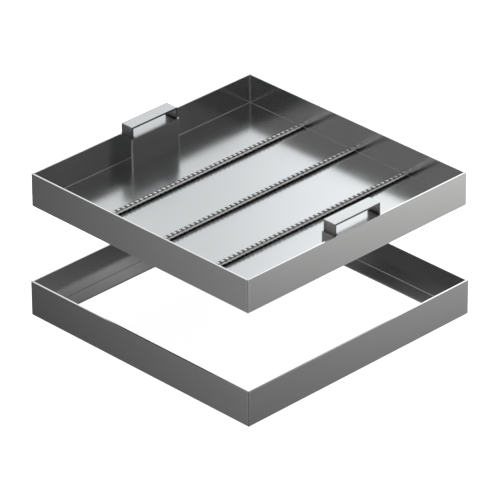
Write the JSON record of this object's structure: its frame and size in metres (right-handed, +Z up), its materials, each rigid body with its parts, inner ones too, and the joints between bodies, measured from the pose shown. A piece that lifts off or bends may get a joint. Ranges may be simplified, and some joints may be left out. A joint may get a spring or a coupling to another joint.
{
  "type": "recessed paving cover",
  "caption": "Square stainless tray cover for paving, lifted clear of its angle frame, with ribbed key bars across the floor and two pull-up strap handles in pockets.",
  "frame": {"origin": "centre of the frame's underside, where it beds on the chamber", "axes": "+Z up; +Y towards the wall with the back handle; +X to the right seen from the front"},
  "size_m": [0.6, 0.6, 0.335],
  "materials": {
    "sheet_steel": "satin",
    "bar_steel": "satin",
    "handle_steel": "satin"
  },
  "bodies": {
    "tray_and_frame": {"frame_angle_front": "sheet_steel", "frame_angle_right": "sheet_steel", "frame_angle_back": "sheet_steel", "frame_angle_left": "sheet_steel", "tray_wall_front": "sheet_steel", "tray_wall_right": "sheet_steel", "tray_wall_back": "sheet_steel", "tray_wall_left": "sheet_steel", "tray_floor": "sheet_steel", "key_bar_1": "bar_steel", "key_bar_2": "bar_steel", "key_bar_3": "bar_steel", "handle_pocket_front": "sheet_steel", "handle_pocket_back": "sheet_steel", "pocket_bridge_front": "sheet_steel", "pocket_bridge_back": "sheet_steel"},
    "front_handle": {"pull_handle_front": "handle_steel"},
    "back_handle": {"pull_handle_back": "handle_steel"}
  },
  "joints": [
    {"name": "front_handle_slide", "type": "slide", "parent": "tray_and_frame", "child": "front_handle", "axis": [0, 0, 1], "range_m": [-0.0197, 0]},
    {"name": "back_handle_slide", "type": "slide", "parent": "tray_and_frame", "child": "back_handle", "axis": [0, 0, 1], "range_m": [-0.0197, 0]}
  ]
}
